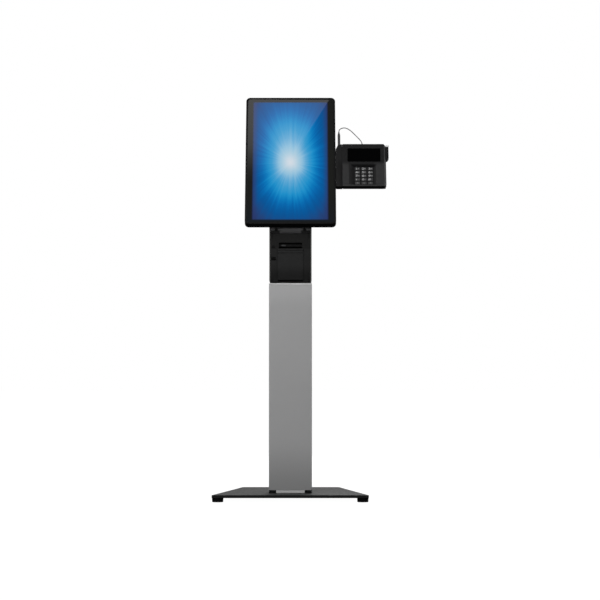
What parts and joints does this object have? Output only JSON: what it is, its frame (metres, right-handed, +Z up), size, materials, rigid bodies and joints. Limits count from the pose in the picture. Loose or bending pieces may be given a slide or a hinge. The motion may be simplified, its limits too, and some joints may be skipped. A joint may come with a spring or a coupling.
{
  "type": "self-service card payment terminal kiosk",
  "caption": "Free-standing self-service payment kiosk: a tilting portrait touch display on a column, a receipt printer below it and a keypad card payment terminal at its side.",
  "frame": {"origin": "centre of the footprint, on the floor", "axes": "+Z up, -Y towards the person using the display, +X towards the side with the card terminal"},
  "size_m": [0.6094, 0.482, 1.4152],
  "materials": {
    "plate": "satin dark powder coat",
    "rubber": "matte",
    "bright_steel": "brushed",
    "black_bolt": "black oxide",
    "silver": "fine satin silver-grey powder coat",
    "black_sheet": "satin black powder coat",
    "pin_steel": "bright",
    "dark_plastic": "fine grain moulded",
    "black_plastic": "fine grain moulded",
    "gloss": "high gloss",
    "screen_glass": "gloss cover glass over the lit panel",
    "panel": "satin",
    "panel_plastic": "matte",
    "board": "circuit board",
    "paper": "matte",
    "platen_rubber": "matte",
    "key_rubber": "matte",
    "stylus_plastic": "satin",
    "tether": "smooth flexible cable"
  },
  "bodies": {
    "stand": {"base_plate": "plate", "foot_front_left": "rubber", "foot_front_right": "rubber", "foot_rear_left": "rubber", "foot_rear_right": "rubber", "column_foot_flange": "bright_steel", "flange_bolt_left": "black_bolt", "flange_bolt_right": "black_bolt", "column_shell": "silver", "column_rear_cover": "silver", "column_top_cap": "bright_steel", "head_bracket": "black_sheet", "neck_plate": "black_sheet", "hinge_pin": "pin_steel", "printer_case": "dark_plastic", "print_head": "panel", "printer_clamp_bar": "black_sheet", "clamp_screw_left": "black_bolt", "clamp_screw_right": "black_bolt"},
    "paper": {"paper_roll": "paper"},
    "door": {"printer_door": "dark_plastic"},
    "platen": {"platen_roller": "platen_rubber"},
    "release_button": {"printer_release_button": "gloss"},
    "feed_button": {"printer_feed_button": "black_plastic"},
    "display": {"display_bracket": "black_sheet", "display_rear_housing": "black_sheet", "display_bezel": "gloss", "touch_glass": "screen_glass", "lcd_panel": "panel", "display_board": "board", "terminal_arm": "black_sheet", "terminal_pivot_pin": "pin_steel"},
    "terminal": {"terminal_cradle": "black_sheet", "stylus_holder": "black_plastic", "terminal_rear_shell": "black_plastic", "terminal_front_shell": "dark_plastic", "terminal_lens": "gloss", "terminal_lcd": "panel_plastic", "terminal_main_board": "board", "keypad_mat": "platen_rubber", "card_reader": "panel_plastic", "swipe_reader": "black_plastic", "stylus_tether": "tether"},
    "stylus": {"stylus": "stylus_plastic"},
    "key_1": {"key_1": "key_rubber"},
    "key_2": {"key_2": "key_rubber"},
    "key_3": {"key_3": "key_rubber"},
    "key_4": {"key_4": "key_rubber"},
    "key_5": {"key_5": "key_rubber"},
    "key_6": {"key_6": "key_rubber"},
    "key_7": {"key_7": "key_rubber"},
    "key_8": {"key_8": "key_rubber"},
    "key_9": {"key_9": "key_rubber"},
    "key_star": {"key_star": "key_rubber"},
    "key_0": {"key_0": "key_rubber"},
    "key_hash": {"key_hash": "key_rubber"},
    "key_cancel": {"key_cancel": "key_rubber"},
    "key_clear": {"key_clear": "key_rubber"},
    "key_enter": {"key_enter": "key_rubber"}
  },
  "joints": [
    {"name": "display_tilt", "type": "hinge", "parent": "stand", "child": "display", "pos_m": [-0.0388, 0.01153, 1.14504], "axis": [-1, 0, 0], "range_deg": [0, 15]},
    {"name": "terminal_tilt", "type": "hinge", "parent": "display", "child": "terminal", "pos_m": [0.2057, 0.00232, 1.13223], "axis": [1, 0, 0], "range_deg": [-15, 15]},
    {"name": "stylus_slide", "type": "slide", "parent": "terminal", "child": "stylus", "axis": [0, 0.4188, 0.9081], "range_m": [0, 0.095], "deforming": ["stylus_tether"]},
    {"name": "printer_door_hinge", "type": "hinge", "parent": "stand", "child": "door", "pos_m": [-0.0388, -0.115, 0.7588], "axis": [1, 0, 0], "range_deg": [0, 75]},
    {"name": "paper_spin", "type": "hinge", "parent": "stand", "child": "paper", "pos_m": [-0.0388, -0.049, 0.799], "axis": [1, 0, 0], "continuous": true},
    {"name": "platen_spin", "type": "hinge", "parent": "door", "child": "platen", "pos_m": [-0.0388, -0.096, 0.851], "axis": [1, 0, 0], "continuous": true},
    {"name": "release_press", "type": "slide", "parent": "stand", "child": "release_button", "axis": [0, 1, 0], "range_m": [0, 0.002], "stiffness_N_per_m": 500, "springref_m": -0.001},
    {"name": "feed_press", "type": "slide", "parent": "stand", "child": "feed_button", "axis": [0, 1, 0], "range_m": [0, 0.0012], "stiffness_N_per_m": 500, "springref_m": -0.001},
    {"name": "key_1_press", "type": "slide", "parent": "terminal", "child": "key_1", "axis": [0, 0.9081, -0.4188], "range_m": [0, 0.001], "stiffness_N_per_m": 500, "springref_m": -0.001},
    {"name": "key_2_press", "type": "slide", "parent": "terminal", "child": "key_2", "axis": [0, 0.9081, -0.4188], "range_m": [0, 0.001], "stiffness_N_per_m": 500, "springref_m": -0.001},
    {"name": "key_3_press", "type": "slide", "parent": "terminal", "child": "key_3", "axis": [0, 0.9081, -0.4188], "range_m": [0, 0.001], "stiffness_N_per_m": 500, "springref_m": -0.001},
    {"name": "key_4_press", "type": "slide", "parent": "terminal", "child": "key_4", "axis": [0, 0.9081, -0.4188], "range_m": [0, 0.001], "stiffness_N_per_m": 500, "springref_m": -0.001},
    {"name": "key_5_press", "type": "slide", "parent": "terminal", "child": "key_5", "axis": [0, 0.9081, -0.4188], "range_m": [0, 0.001], "stiffness_N_per_m": 500, "springref_m": -0.001},
    {"name": "key_6_press", "type": "slide", "parent": "terminal", "child": "key_6", "axis": [0, 0.9081, -0.4188], "range_m": [0, 0.001], "stiffness_N_per_m": 500, "springref_m": -0.001},
    {"name": "key_7_press", "type": "slide", "parent": "terminal", "child": "key_7", "axis": [0, 0.9081, -0.4188], "range_m": [0, 0.001], "stiffness_N_per_m": 500, "springref_m": -0.001},
    {"name": "key_8_press", "type": "slide", "parent": "terminal", "child": "key_8", "axis": [0, 0.9081, -0.4188], "range_m": [0, 0.001], "stiffness_N_per_m": 500, "springref_m": -0.001},
    {"name": "key_9_press", "type": "slide", "parent": "terminal", "child": "key_9", "axis": [0, 0.9081, -0.4188], "range_m": [0, 0.001], "stiffness_N_per_m": 500, "springref_m": -0.001},
    {"name": "key_star_press", "type": "slide", "parent": "terminal", "child": "key_star", "axis": [0, 0.9081, -0.4188], "range_m": [0, 0.001], "stiffness_N_per_m": 500, "springref_m": -0.001},
    {"name": "key_0_press", "type": "slide", "parent": "terminal", "child": "key_0", "axis": [0, 0.9081, -0.4188], "range_m": [0, 0.001], "stiffness_N_per_m": 500, "springref_m": -0.001},
    {"name": "key_hash_press", "type": "slide", "parent": "terminal", "child": "key_hash", "axis": [0, 0.9081, -0.4188], "range_m": [0, 0.001], "stiffness_N_per_m": 500, "springref_m": -0.001},
    {"name": "key_cancel_press", "type": "slide", "parent": "terminal", "child": "key_cancel", "axis": [0, 0.9081, -0.4188], "range_m": [0, 0.001], "stiffness_N_per_m": 500, "springref_m": -0.001},
    {"name": "key_clear_press", "type": "slide", "parent": "terminal", "child": "key_clear", "axis": [0, 0.9081, -0.4188], "range_m": [0, 0.001], "stiffness_N_per_m": 500, "springref_m": -0.001},
    {"name": "key_enter_press", "type": "slide", "parent": "terminal", "child": "key_enter", "axis": [0, 0.9081, -0.4188], "range_m": [0, 0.001], "stiffness_N_per_m": 500, "springref_m": -0.001}
  ],
  "couplings": [
    {"joint": "platen_spin", "follows": "paper_spin", "ratio": 4.5}
  ]
}
